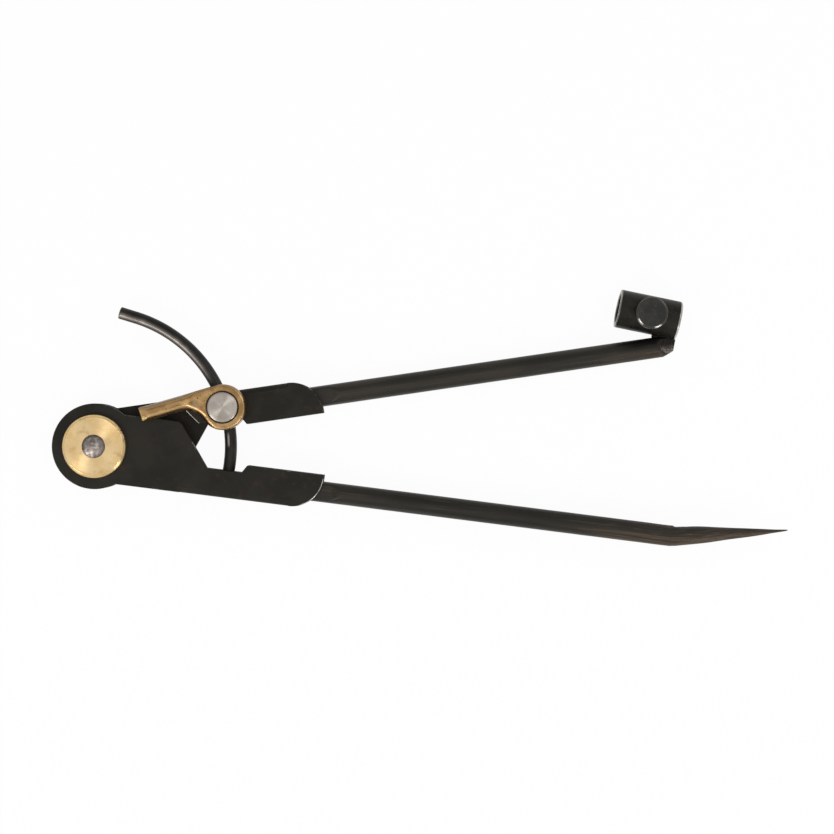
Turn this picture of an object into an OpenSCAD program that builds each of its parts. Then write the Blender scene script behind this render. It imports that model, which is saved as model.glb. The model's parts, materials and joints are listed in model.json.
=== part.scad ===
// Quadrant pencil compass: two steel legs on a riveted pivot, a curved rod that
// sets their opening, a brass lever that clamps the rod, and a pencil sleeve.
// Millimetres. The origin is on the pivot axis, at the back face of the rear
// washer. X runs between the legs to the points, Y to the pencil leg, Z is up.

/* [Legs] */
// Angle between the two legs as stored
opening = 15.5; // [10:0.5:40]
// Distance along a leg from the pivot to the spike's tip
leg_l = 200; // [180:1:240]
// Diameter of both leg bars
bar_d = 6; // [5:0.25:6.5]
// Distance of a bar's centre line from its leg's axis
bar_off = 4.86; // [4:0.02:5.2]
// Distance from the rod's arc to where a bar starts in its channel
bar_back = 6.4; // [5.8:0.1:10]
// Length over which a bar's flats run out past its channel
flat_run = 4; // [2:0.5:8]
// How far the flats reach past the channel before they run out
flat_over = 2; // [0.5:0.5:5]

/* [Spike] */
// Length of the spike along the leg, from its bend to its tip
spike_run = 33.5; // [24:0.5:44]
// How far the tip lies inward of the leg's axis
tip_in = 1; // [0:0.1:2]
// Diameter of the spike just past the bend
spike_d = 5.2; // [4:0.1:5.4]
// Length of the forged neck from the bend to that diameter
spike_neck = 4; // [2:0.5:6]
// Length of the nearly straight stretch after the neck
spike_shoulder = 5; // [2:0.5:8]
// Diameter where the long taper starts
taper_d = 4.9; // [3:0.1:5]
// Diameter of the blunted tip
tip_d = 0.35; // [0.2:0.05:0.8]

/* [Channels] */
// Thickness of the folded sheet
sheet_t = 1.5; // [1:0.1:2]
// Gap between the two cheeks of a channel
gap = 4; // [3.9:0.1:5]
// Diameter of the eye round the pivot
eye_d = 24.5; // [21.5:0.5:30]
// Width of the long cheek next to the eye
cheek_w = 20; // [19:0.2:21]
// Distance from the pivot to the end of the cheeks
cheek_l = 66; // [58:0.5:76]
// Radius of the outer corner at the end of the cheeks
cheek_r = 9; // [5:0.5:9]
// Outer radius of the fold along the spine
fold_r = 1.6; // [0.5:0.1:2]
// Angle of the slanted cheek ends to the leg's axis
slant = 53; // [48:0.5:60]
// Distance from the rod's arc back to the long cheek's slanted end
slant_back = 7.45; // [6.6:0.05:10]
// Gap between the nested slanted ends when the legs are shut
nest_gap = 0.6; // [0.3:0.05:1.2]
// Radius of the long cheek's inner corner
corner_r = 2; // [0.5:0.25:3]
// Distance of the cheeks' window edge from the leg's axis
window_v = 2.2; // [1.2:0.1:2.4]
// Distance from the rod's arc to the window's far end
window_past = 5.3; // [4.4:0.1:6]
// Slope length of the window's far end along the leg
window_run = 1.4; // [0.5:0.1:2]

/* [Pivot] */
// Diameter of the rivet
rivet_d = 6.2; // [5:0.1:7]
// Diameter of the rivet's flush rear head
rivet_head_d = 8.6; // [7.4:0.1:10]
// Height of the rivet's peened front dome
dome_h = 0.6; // [0.3:0.1:1.2]
// Diameter of the two brass washers
washer_d = 18; // [13:0.5:22]
// Thickness of the brass washers
washer_t = 2; // [1.6:0.1:3]
// Bevel on the rim of the washers
washer_bevel = 0.6; // [0.2:0.1:1]
// Diameter of the spacer between the long cheeks
spacer_d = 22; // [14:0.5:24]

/* [Quadrant rod] */
// Diameter of the curved rod
rod_d = 3.5; // [3:0.1:3.5]
// Radius of the rod's arc about the pivot
rod_r = 38.6; // [34:0.1:44]
// Angle from the spike leg's axis to the rod's free end
rod_angle = 87.2; // [70:0.1:110]
// Clearance round the rod where it passes the spine
rod_clear = 0.15; // [0.1:0.01:0.2]

/* [Clamp] */
// Distance of the clamp's axis from the pencil leg's axis
clamp_off = 5.7; // [5.6:0.02:5.74]
// Diameter of the stud's thread
stud_d = 5; // [4:0.1:5.2]
// Diameter of the stud's eye
stud_eye_d = 5.4; // [5.2:0.05:5.45]
// Clearance round the rod inside the stud's eye
eye_clear = 0.2; // [0.18:0.01:0.24]
// Gap below the rod in the eye when the clamp is tight
grip_gap = 0.05; // [0.02:0.01:0.08]
// Length of thread above the front cheek
stud_out = 4; // [3:0.1:4.2]
// Room above the stud in the blind nut
stud_room = 0.4; // [0.2:0.1:0.5]
// Direction of the lever from the pencil leg's axis
lever_angle = 187.75; // [150:0.25:210]
// Outer diameter of the lever's ring
ring_d = 13; // [12.4:0.1:14]
// Height of the lever's ring
ring_h = 5.4; // [5.2:0.1:7]
// Thickness of the lip under the nut
ring_lip = 1; // [0.6:0.1:1.4]
// Clearance of the lip round the stud
lip_clear = 0.5; // [0.2:0.1:0.8]
// Distance from the ring's centre to the end of the handle
lever_l = 23.2; // [16:0.2:24]
// Width of the handle
lever_w = 4.3; // [3:0.1:4.6]
// Height of the handle
lever_h = 4.2; // [2.4:0.1:4.6]
// Clearance of the handle above the cheeks
lever_lift = 0.7; // [0.4:0.1:0.8]
// Bevel on the rim of the lever's ring
ring_bevel = 0.5; // [0.2:0.1:0.8]
// Radius of the neck between handle and ring
neck_r = 6.5; // [2:0.5:9]
// Height of the web in that neck
neck_h = 3.2; // [2:0.1:4]
// Diameter of the knurled nut
nut_d = 9; // [8:0.1:9.4]
// Depth of the nut's knurl
knurl_depth = 0.15; // [0.08:0.01:0.25]
// Number of knurl teeth
knurl_n = 44; // [30:1:60]
// Height of the plain rim above the knurl
nut_rim = 0.4; // [0.2:0.1:0.8]

/* [Pencil sleeve] */
// Outer diameter of the sleeve
sleeve_d = 11; // [10.2:0.1:12]
// Bore for the pencil
bore_d = 8.6; // [7.6:0.1:9]
// Length of the sleeve
sleeve_l = 18; // [14:0.5:24]
// Tilt of the sleeve's axis towards the spike's tip
sleeve_tilt = 20; // [14:0.5:26]
// Distance along the leg to where the sleeve meets the bar
sleeve_u = 164.5; // [150:0.1:166]
// Length of the sleeve that lies in the coped bar end
cope_l = 4.6; // [4:0.1:6]
// Length of the cut on the bar end's inner corner
bar_cut = 2.6; // [1:0.1:3]
// Angle of that cut to the bar
bar_cut_angle = 23; // [15:1:40]
// Radius of the weld bead in the crotch
weld_r = 1.5; // [1:0.1:2]

/* [Pencil screw] */
// Diameter of the screw's thread
screw_d = 4; // [3:0.1:5]
// Diameter of the screw's head
screw_head_d = 9; // [8.4:0.1:12]
// Thickness of the screw's head
screw_head_t = 2.2; // [1.4:0.1:4]
// Bevel on the rim of the screw's head
screw_head_bevel = 0.6; // [0.2:0.1:1]
// Diameter of the threaded boss on the sleeve
boss_d = 7; // [6.2:0.1:8]
// Height of the boss above the sleeve's crown
boss_h = 0.8; // [0.4:0.1:1.6]
// Room under the head when the screw is backed out
screw_out = 1.5; // [0.8:0.1:3]
// Gap from the backed-out screw's tip to the bore
screw_tip_gap = 0.1; // [0.05:0.01:0.2]

/* [Fits] */
// Radial clearance of a pin or thread in its hole
run_clear = 0.05; // [0.02:0.01:0.1]
// Clearance between flat faces that rub
face_clear = 0.05; // [0.02:0.01:0.1]
// Gap at a welded or pressed seat
seat_gap = 0.02; // [0.01:0.01:0.05]

/* [Hidden] */
$fn = 96;

// Length by which a cut passes the face it opens
over = 1;
black_steel = "#2d2c28";
worn_steel = "#5b5955";
pale_brass = "#dcbc7c";
cast_brass = "#a5783e";
bright_steel = "#aaa5a3";

// Heights, from the back face of the rear washer upwards
rear_cheek_z = washer_t;
gap_z = rear_cheek_z + sheet_t;
mid_z = gap_z + gap/2;
front_cheek_z = gap_z + gap;
front_z = front_cheek_z + sheet_t;
top_z = front_z + washer_t;

// Channel outline
half_w = cheek_w/2;
spine_v = half_w - sheet_t;
slant_u = rod_r - slant_back;
slant_run = 1/tan(slant);
short_slant_u = slant_u + nest_gap/sin(slant);
spine_u = short_slant_u - spine_v*slant_run;
arc_u = cheek_l - cheek_r;
arc_v = half_w - cheek_r;
window_u = rod_r + window_past;
bar_start = rod_r + bar_back;

// Rod and clamp
rod_in = asin((half_w - sheet_t/2)/rod_r);
clamp_u = sqrt(rod_r*rod_r - clamp_off*clamp_off);
eye_r = rod_d/2 + eye_clear;
eye_z = mid_z - rod_d/2 - grip_gap + eye_r;
ring_z = front_z + face_clear;
nut_z = ring_z + ring_lip;
ring_top = ring_z + ring_h;
ring_bore_d = nut_d + 2*knurl_depth;
stud_top = front_z + stud_out;
nut_bore_top = stud_top + stud_room;

// Sleeve and screw, in the pencil leg's frame
sleeve_dir = [cos(sleeve_tilt), -sin(sleeve_tilt)];
sleeve_side = [-sin(sleeve_tilt), -cos(sleeve_tilt)];
crotch = [sleeve_u, bar_off + bar_d/2];
sleeve_mid = crotch - (sleeve_l/2 - cope_l)*sleeve_dir - sleeve_d/2*sleeve_side;
boss_z = mid_z + sleeve_d/2 + boss_h;
screw_head_z = boss_z + screw_out;
screw_tip_z = mid_z + bore_d/2 + screw_tip_gap;

// Spike
bend_u = leg_l - spike_run;
spike_l = norm([spike_run, bar_off + tip_in]);
spike_angle = atan((bar_off + tip_in)/spike_run);

// Frame of the pencil leg: X along the leg, Y outward
module pencil_frame() {
    rotate(opening/2) children();
}

// Frame of the spike leg: the pencil leg's frame turned over about its axis
module spike_frame() {
    rotate(-opening/2)
        translate([0, 0, mid_z])
            rotate([180, 0, 0])
                translate([0, 0, -mid_z])
                    children();
}

module clamp_frame() {
    pencil_frame() translate([clamp_u, clamp_off, 0]) children();
}

// Frame of the sleeve: X along its axis towards the point, Z up
module sleeve_frame() {
    pencil_frame()
        translate([sleeve_mid[0], sleeve_mid[1], mid_z])
            rotate(-sleeve_tilt)
                children();
}

// Round disc with a bevel on its upper rim
module rimmed_disc(d, h, bevel) {
    cylinder(d = d, h = h - bevel);
    translate([0, 0, h - bevel]) cylinder(d1 = d, d2 = d - 2*bevel, h = bevel);
}

// A stretch of the rod's arc, between two angles about the pivot
module arc_rod(from, to, r) {
    translate([0, 0, mid_z])
        rotate(from)
            rotate_extrude(angle = to - from)
                translate([rod_r, 0])
                    circle(r);
}

// Far part of a cheek, from the window to its rounded end
module cheek_tail() {
    polygon([
        [window_u - window_run, window_v], [window_u, 0], [cheek_l, 0],
        [cheek_l, arc_v], [arc_u, arc_v], [arc_u, half_w], [window_u - window_run, half_w]
    ]);
    intersection() {
        translate([arc_u, arc_v]) circle(cheek_r);
        translate([arc_u, arc_v]) square(cheek_r + over);
    }
}

module long_cheek_outline() {
    corner_v = corner_r - half_w;
    corner_u = slant_u + corner_v*slant_run - corner_r/sin(slant);
    circle(d = eye_d);
    translate([corner_u, corner_v]) circle(corner_r);
    polygon([
        [0, -half_w], [corner_u, -half_w],
        [corner_u + corner_r*sin(slant), corner_v - corner_r*cos(slant)],
        [slant_u + window_v*slant_run, window_v],
        [window_u - window_run, window_v], [window_u - window_run, half_w], [0, half_w]
    ]);
    cheek_tail();
}

module short_cheek_outline() {
    polygon([
        [short_slant_u - half_w*slant_run, half_w], [short_slant_u - window_v*slant_run, window_v],
        [window_u - window_run, window_v], [window_u - window_run, half_w]
    ]);
    cheek_tail();
}

// What the fold's outer radius takes off one edge of the spine
module fold_cut() {
    tip_u = short_slant_u - half_w*slant_run;
    translate([tip_u, half_w - fold_r, 0])
        rotate([90, 0, 90])
            linear_extrude(arc_u - tip_u)
                difference() {
                    square(fold_r + over);
                    circle(fold_r);
                }
}

// One leg's head: a long cheek with the pivot eye, a spine and a short cheek,
// drilled for the clamp's stud on the pencil leg only
module leg_channel(drilled) {
    hole_r = rivet_d/2 + run_clear;
    difference() {
        union() {
            translate([0, 0, rear_cheek_z]) linear_extrude(sheet_t) long_cheek_outline();
            translate([0, 0, front_cheek_z]) linear_extrude(sheet_t) short_cheek_outline();
            translate([spine_u, spine_v, rear_cheek_z])
                cube([arc_u - spine_u, sheet_t, front_z - rear_cheek_z]);
        }
        translate([0, 0, front_z - fold_r]) fold_cut();
        intersection() {
            translate([0, 0, rear_cheek_z + fold_r]) mirror([0, 0, 1]) fold_cut();
            translate([spine_u, 0, 0]) cube([arc_u - spine_u, cheek_w, front_z]);
        }
        translate([0, 0, rear_cheek_z - over]) cylinder(r = hole_r, h = sheet_t + 2*over);
        if (drilled) translate([clamp_u, clamp_off, 0]) {
            cylinder(d = stud_eye_d + 2*run_clear, h = mid_z);
            cylinder(d = stud_d + 2*run_clear, h = top_z);
        }
        arc_rod(rod_in/2, 2*rod_in, rod_d/2 + rod_clear);
    }
}

// Side view of the room a bar takes: flats in the channel, then full height
module bar_room(end_u) {
    flat_u = cheek_l + flat_over;
    full_u = flat_u + flat_run;
    side = [[bar_start, gap/2], [flat_u, gap/2], [full_u, bar_d/2 + over], [end_u, bar_d/2 + over]];
    translate([0, bar_off + bar_d, mid_z])
        rotate([90, 0, 0])
            linear_extrude(2*bar_d)
                polygon(concat(side, [for (i = [3:-1:0]) [side[i][0], -side[i][1]]]));
}

// A round bar with flats at its channel end
module leg_bar(end_u) {
    intersection() {
        translate([bar_start, bar_off, mid_z])
            rotate([0, 90, 0])
                cylinder(d = bar_d, h = end_u - bar_start);
        bar_room(end_u + over);
    }
}

module spike_leg_channel() {
    color(black_steel) spike_frame() leg_channel(false);
}

module pencil_leg_channel() {
    color(black_steel) pencil_frame() leg_channel(true);
}

module spike_leg_bar() {
    taper_at = spike_neck + spike_shoulder;
    color(black_steel) spike_frame() {
        leg_bar(bend_u);
        translate([bend_u, bar_off, mid_z]) {
            sphere(d = bar_d);
            rotate([0, 90, -spike_angle])
                rotate_extrude()
                    polygon([
                        [0, 0], [bar_d/2, 0], [spike_d/2, spike_neck],
                        [taper_d/2, taper_at], [tip_d/2, spike_l], [0, spike_l]
                    ]);
        }
    }
}

module pencil_leg_bar() {
    inner_v = bar_off - bar_d/2;
    end_w = (sleeve_mid + sleeve_l/2*sleeve_dir)[1] - inner_v;
    end_u = sleeve_mid[0] + sleeve_l/2*sleeve_dir[0] - end_w*tan(sleeve_tilt);
    color(black_steel) difference() {
        pencil_frame() leg_bar(end_u + bar_d);
        sleeve_frame() rotate([0, 90, 0])
            cylinder(d = sleeve_d + 2*seat_gap, h = 2*sleeve_l, center = true);
        sleeve_frame() translate([sleeve_l/2, -2*sleeve_d, -sleeve_d])
            cube([sleeve_d, 4*sleeve_d, 2*sleeve_d]);
        pencil_frame()
            translate([end_u - bar_cut, inner_v, mid_z])
                rotate(bar_cut_angle)
                    translate([-bar_d, -bar_d, -bar_d])
                        cube([3*bar_d, bar_d, 2*bar_d]);
    }
}

module pencil_sleeve() {
    color(black_steel) difference() {
        sleeve_frame() rotate([0, 90, 0]) difference() {
            cylinder(d = sleeve_d, h = sleeve_l, center = true);
            cylinder(d = bore_d, h = sleeve_l + 2*over, center = true);
        }
        sleeve_frame() cylinder(d = screw_d + 2*run_clear, h = sleeve_d);
    }
}

// Weld bead that fills the crotch between the sleeve and the bar
module sleeve_weld() {
    color(worn_steel) difference() {
        pencil_frame() translate([crotch[0], crotch[1], mid_z]) sphere(weld_r);
        sleeve_frame() rotate([0, 90, 0])
            cylinder(d = sleeve_d + 2*seat_gap, h = 2*sleeve_l, center = true);
        pencil_frame() translate([bar_start, bar_off, mid_z]) rotate([0, 90, 0])
            cylinder(d = bar_d + 2*seat_gap, h = leg_l);
    }
}

module pencil_screw_boss() {
    color(black_steel) difference() {
        sleeve_frame() cylinder(d = boss_d, h = boss_z - mid_z);
        sleeve_frame() rotate([0, 90, 0])
            cylinder(d = sleeve_d + 2*seat_gap, h = 2*sleeve_l, center = true);
        sleeve_frame() cylinder(d = screw_d + 2*run_clear, h = 2*sleeve_d);
    }
}

module pencil_screw_shank() {
    color(worn_steel) sleeve_frame() translate([0, 0, screw_tip_z - mid_z])
        cylinder(d = screw_d, h = screw_head_z - screw_tip_z);
}

module pencil_screw_head() {
    color(black_steel) sleeve_frame() translate([0, 0, screw_head_z - mid_z])
        rimmed_disc(screw_head_d, screw_head_t, screw_head_bevel);
}

module pivot_rivet() {
    sink = (rivet_head_d - rivet_d)/2;
    dome_r = (rivet_d*rivet_d/4 + dome_h*dome_h)/(2*dome_h);
    color(bright_steel) {
        cylinder(d1 = rivet_head_d, d2 = rivet_d, h = sink);
        cylinder(d = rivet_d, h = top_z);
        intersection() {
            translate([0, 0, top_z + dome_h - dome_r]) sphere(dome_r);
            translate([0, 0, top_z - dome_h]) cylinder(d = rivet_d, h = 3*dome_h);
        }
    }
}

// Turned brass washer with a bevelled rim on its upper side
module pivot_washer(t) {
    difference() {
        rimmed_disc(washer_d, t, washer_bevel);
        translate([0, 0, -over]) cylinder(d = rivet_d + 2*run_clear, h = t + 2*over);
    }
}

module front_washer() {
    color(pale_brass) translate([0, 0, front_z]) pivot_washer(washer_t);
}

module rear_washer() {
    sink = (rivet_head_d - rivet_d)/2;
    color(pale_brass) difference() {
        translate([0, 0, washer_t - face_clear]) mirror([0, 0, 1]) pivot_washer(washer_t - face_clear);
        translate([0, 0, -sink])
            cylinder(d1 = rivet_head_d + 2*sink + 2*run_clear, d2 = rivet_d + 2*run_clear, h = 2*sink);
    }
}

module head_spacer() {
    color(worn_steel) translate([0, 0, gap_z + face_clear]) difference() {
        cylinder(d = spacer_d, h = gap - face_clear);
        translate([0, 0, -over]) cylinder(d = rivet_d + 2*run_clear, h = gap + 2*over);
    }
}

module quadrant_rod() {
    color(black_steel) arc_rod(-opening/2 - rod_in, -opening/2 + rod_angle, rod_d/2);
}

// Outline of the lever's neck, with the handle along X and below the ring's centre line
module neck_outline() {
    edge = ring_d/2 - lever_w;
    neck_u = sqrt(pow(ring_d/2 + neck_r, 2) - pow(edge - neck_r, 2));
    difference() {
        polygon([[0, 0], [neck_u, neck_r - edge], [neck_u, -edge - lever_w/2], [0, -edge - lever_w/2]]);
        translate([neck_u, neck_r - edge]) circle(neck_r);
    }
}

// Section of the handle: flat below, round on top
module handle_section() {
    translate([-lever_w/2, 0]) square([lever_w, lever_h - lever_w/2]);
    translate([0, lever_h - lever_w/2]) circle(d = lever_w);
}

module clamp_lever() {
    handle_z = front_z + lever_lift;
    color(cast_brass) clamp_frame() difference() {
        union() {
            translate([0, 0, ring_z]) rimmed_disc(ring_d, ring_h, ring_bevel);
            rotate(lever_angle) {
                translate([0, 0, handle_z])
                    linear_extrude(neck_h)
                        neck_outline();
                translate([0, lever_w/2 - ring_d/2, handle_z])
                    rotate([90, 0, 90])
                        linear_extrude(lever_l)
                            handle_section();
            }
        }
        translate([0, 0, nut_z]) cylinder(d = ring_bore_d, h = ring_h);
        translate([0, 0, ring_z - over]) cylinder(d = stud_d + 2*lip_clear, h = ring_h);
    }
}

module clamp_nut() {
    tooth = 360/knurl_n;
    color(bright_steel) clamp_frame() difference() {
        union() {
            translate([0, 0, nut_z]) linear_extrude(ring_top - nut_rim - nut_z)
                polygon([for (i = [0:2*knurl_n - 1])
                    (nut_d/2 + (i % 2)*(knurl_depth - seat_gap))*[cos(i*tooth/2), sin(i*tooth/2)]]);
            translate([0, 0, nut_z]) cylinder(d = nut_d - knurl_depth, h = ring_top - nut_z);
        }
        translate([0, 0, nut_z - over]) cylinder(d = stud_d + 2*run_clear, h = nut_bore_top - nut_z + over);
    }
}

module clamp_stud() {
    shoulder_z = front_cheek_z - face_clear;
    color(worn_steel) difference() {
        clamp_frame() {
            translate([0, 0, rear_cheek_z]) cylinder(d = stud_eye_d, h = shoulder_z - rear_cheek_z);
            translate([0, 0, rear_cheek_z]) cylinder(d = stud_d, h = stud_top - rear_cheek_z);
        }
        translate([0, 0, eye_z - mid_z])
            arc_rod(opening/2, opening/2 + 2*rod_in, eye_r);
    }
}

spike_leg_channel();
spike_leg_bar();
pivot_rivet();
front_washer();
rear_washer();
head_spacer();
quadrant_rod();
pencil_leg_channel();
pencil_leg_bar();
pencil_sleeve();
sleeve_weld();
pencil_screw_boss();
clamp_lever();
clamp_nut();
clamp_stud();
pencil_screw_shank();
pencil_screw_head();
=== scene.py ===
# %% [markdown]
# # A quadrant pencil compass
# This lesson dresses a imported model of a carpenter's compass: two black steel legs on a riveted
# pivot, a bent rod that sets their opening, a brass lever that clamps the rod, and a sleeve that
# takes a pencil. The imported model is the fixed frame. It is loaded first, and everything made
# here is placed from it, in metres, so nothing has to be fitted by eye.

# %% Load the frame
import json
import math

import bmesh
import bpy
from mathutils import Matrix, Vector, noise


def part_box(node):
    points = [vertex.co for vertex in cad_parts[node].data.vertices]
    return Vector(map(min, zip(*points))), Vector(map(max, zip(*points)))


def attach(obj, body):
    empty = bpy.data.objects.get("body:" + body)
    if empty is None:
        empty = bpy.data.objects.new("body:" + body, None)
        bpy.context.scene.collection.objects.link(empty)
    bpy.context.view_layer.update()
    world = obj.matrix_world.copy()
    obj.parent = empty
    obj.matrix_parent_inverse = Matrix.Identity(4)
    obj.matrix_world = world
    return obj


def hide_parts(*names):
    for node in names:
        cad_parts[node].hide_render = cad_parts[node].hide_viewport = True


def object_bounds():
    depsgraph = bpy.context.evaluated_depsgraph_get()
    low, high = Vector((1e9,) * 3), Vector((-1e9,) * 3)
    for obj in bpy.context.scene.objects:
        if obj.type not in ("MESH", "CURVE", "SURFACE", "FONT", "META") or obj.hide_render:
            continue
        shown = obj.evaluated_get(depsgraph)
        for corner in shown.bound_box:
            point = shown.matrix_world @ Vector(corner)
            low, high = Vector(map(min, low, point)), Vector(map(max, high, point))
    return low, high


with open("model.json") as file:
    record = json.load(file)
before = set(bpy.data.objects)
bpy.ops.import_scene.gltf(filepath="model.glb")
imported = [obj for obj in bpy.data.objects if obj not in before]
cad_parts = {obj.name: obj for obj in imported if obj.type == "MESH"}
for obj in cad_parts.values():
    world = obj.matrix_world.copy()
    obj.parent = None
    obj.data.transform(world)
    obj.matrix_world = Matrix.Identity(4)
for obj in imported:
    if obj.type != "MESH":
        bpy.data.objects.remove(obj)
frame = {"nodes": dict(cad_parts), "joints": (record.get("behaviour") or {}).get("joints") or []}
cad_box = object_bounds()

mm = 0.001
joints = {joint["name"]: joint for joint in frame["joints"]}
middle = joints["leg_opening"]["pos_m"][2]
clamp_at = Vector(joints["lever_turn"]["pos_m"])
screw_at = Vector(joints["screw_turn"]["pos_m"])
overall = [round(side / mm, 1) for side in cad_box[1] - cad_box[0]]
print("pieces in the frame:", len(frame["nodes"]), "size in mm:", overall)

# %% [markdown]
# ## Camera
# The photograph looks straight down on the compass, from a little over half a metre up: near
# enough that the raised lever and screw lean outward a little, far enough that both legs keep
# their size. A camera without perspective would be simpler, but it would lose that lean. The
# small roll is the camera's own, as the legs don't lie quite evenly in the picture.

# %% Set the camera
view_width = 239.5 * mm
lens = 85.0
sensor = 36.0
camera_roll = math.radians(-0.54)
view_middle = Vector((92.11 * mm, 7.5 * mm, middle))
view_height = view_width * lens / sensor


def new_object(name, data):
    """A Blender object for a mesh, a camera or a lamp, put into the scene."""
    made = bpy.data.objects.new(name, data)
    bpy.context.scene.collection.objects.link(made)
    return made


camera = new_object("camera", bpy.data.cameras.new("camera"))
camera.data.lens = lens
camera.data.sensor_width = sensor
camera.location = view_middle + Vector((0, 0, view_height))
camera.rotation_euler = (0, 0, camera_roll)
bpy.context.scene.camera = camera
print("camera height in mm:", round(camera.location.z / mm))

# %% [markdown]
# ## A small language for materials
# A material is a net of nodes, and long nets are hard to read as code. One class wraps an output
# socket, so that arithmetic on sockets reads like arithmetic. Another holds a material, and its
# one method `node` adds any other node. A finish may be given the place of its piece: it then
# works in the piece's own directions, so that a streak runs along a bar whichever way it lies.
# Colours are written as they look on a screen and turned into linear values.

# %% Sockets that add and multiply
class Flow:
    """An output socket of a material. Arithmetic on it adds Math nodes."""

    def __init__(self, finish, socket):
        self.finish = finish
        self.socket = socket

    def math(self, operation, first, second):
        return self.finish.node("ShaderNodeMath", {"operation": operation}, [first, second])

    def __add__(self, other):
        return self.math("ADD", self, other)

    def __sub__(self, other):
        return self.math("SUBTRACT", self, other)

    def __rsub__(self, other):
        return self.math("SUBTRACT", other, self)

    def __mul__(self, other):
        return self.math("MULTIPLY", self, other)

    def __truediv__(self, other):
        return self.math("DIVIDE", self, other)

    def __rtruediv__(self, other):
        return self.math("DIVIDE", other, self)

    def __pow__(self, other):
        return self.math("POWER", self, other)

    def __rpow__(self, other):
        return self.math("POWER", other, self)

    __radd__ = __add__
    __rmul__ = __mul__


# %% Materials that grow by one method
class Finish:
    """A material with its shader ready, and a method that adds any other node."""

    def __init__(self, name, place=None):
        self.material = bpy.data.materials.new(name)
        self.material.use_nodes = True
        self.tree = self.material.node_tree
        self.shader = self.tree.nodes["Principled BSDF"]
        self.where = self.node("ShaderNodeTexCoord", output="Object")
        if place is not None:
            self.where = self.node(
                "ShaderNodeMapping", {"vector_type": "TEXTURE"},
                [self.where, place.to_translation(), place.to_euler()])

    def plug(self, socket, value):
        if isinstance(value, Flow):
            self.tree.links.new(value.socket, socket)
        else:
            socket.default_value = value

    def node(self, kind, settings=None, inputs=(), output=0):
        made = self.tree.nodes.new(kind)
        for name, value in (settings or {}).items():
            setattr(made, name, value)
        pairs = inputs.items() if isinstance(inputs, dict) else enumerate(inputs)
        for key, value in pairs:
            self.plug(made.inputs[key], value)
        return Flow(self, made.outputs[output])

    def axis(self, letter):
        return self.node("ShaderNodeSeparateXYZ", None, [self.where], letter)

    def from_axis(self):
        """Distance from the piece's own upright axis."""
        x, y = self.axis("X"), self.axis("Y")
        return (x * x + y * y) ** 0.5

    def grain(self, size, detail=3.0, stretch=(1, 1, 1), shift=0.0):
        """Noise from 0 to 1 whose grains are about that size."""
        spot = self.node(
            "ShaderNodeVectorMath", {"operation": "MULTIPLY_ADD"}, [self.where, stretch, (shift,) * 3])
        return self.node(
            "ShaderNodeTexNoise", None, {"Vector": spot, "Scale": 1 / size, "Detail": detail})

    def lines(self, across, size, detail=3.0):
        """Noise that changes only with one value, as scratches and tool rings do."""
        return self.node(
            "ShaderNodeTexNoise", {"noise_dimensions": "1D"},
            {"W": across, "Scale": 1 / size, "Detail": detail})

    def step(self, value, low, high):
        """A soft step: 0 below low, 1 above high."""
        return self.node(
            "ShaderNodeMapRange", {"interpolation_type": "SMOOTHSTEP"},
            {"Value": value, "From Min": low, "From Max": high})

    def band(self, value, rise, fall):
        """A soft band: up from 0 to 1 over the first stretch, and down again over the second."""
        return self.step(value, *rise) * (1 - self.step(value, *fall))

    def blend(self, share, first, second):
        return self.node(
            "ShaderNodeMix", {"data_type": "RGBA"}, {0: share, 6: first, 7: second}, output=2)

    def bump(self, height, depth):
        return self.node("ShaderNodeBump", None, {"Height": height, "Distance": depth}, "Normal")

    def finish(self, **sockets):
        for name, value in sockets.items():
            self.plug(self.shader.inputs[name.replace("_", " ")], value)
        print("finish:", self.material.name, "with", len(self.tree.nodes), "nodes")
        return self.material


# %% Colours as on a screen
def tint(code):
    """A colour as it is written for a screen, in linear values."""
    parts = [int(code[i:i + 2], 16) / 255 for i in (1, 3, 5)]
    return (*[p / 12.92 if p < 0.04045 else ((p + 0.055) / 1.055) ** 2.4 for p in parts], 1)


# %% [markdown]
# ## Floor and light
# The compass lies on a white sheet that curves up all round, as a studio's paper sweep does. A
# plain plane would end in a horizon when seen from the side. The sheet takes the soft shadow of
# the object. Most of its white is a glow that only the camera and mirror-like rays see, so the
# white adds no light of its own. A wide box overhead gives flat metal its even tone. Two small
# boxes on the near side draw the bright rims and the bands along the bars, and a weak one fills
# from the far side.

# %% White paper
floor_finish = Finish("white_paper")
ray = {
    name: floor_finish.node("ShaderNodeLightPath", output=f"Is {name} Ray")
    for name in ("Camera", "Glossy", "Transmission")
}
glow = floor_finish.node("ShaderNodeEmission", None, {"Color": (1, 1, 1, 1), "Strength": 1.0})
fibre = floor_finish.grain(3 * mm)
floor_finish.finish(
    Base_Color=floor_finish.blend(fibre, tint("#f2f2f0"), tint("#fafaf8")), Roughness=0.9)
glow_share = 0.95
sheet_shader = floor_finish.node(
    "ShaderNodeMixShader", None,
    [(ray["Camera"] + ray["Glossy"] + ray["Transmission"]) * glow_share,
     Flow(floor_finish, floor_finish.shader.outputs[0]), glow])
floor_finish.plug(floor_finish.tree.nodes["Material Output"].inputs["Surface"], sheet_shader)

# %% Lay the floor
floor_reach = 2.0
cove_r = 0.8
floor_drop = 0.1 * mm
cove_sides, cove_steps = 64, 10


def round_turns(count):
    """Angles that share out a full turn."""
    return [2 * math.pi * i / count for i in range(count)]


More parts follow.
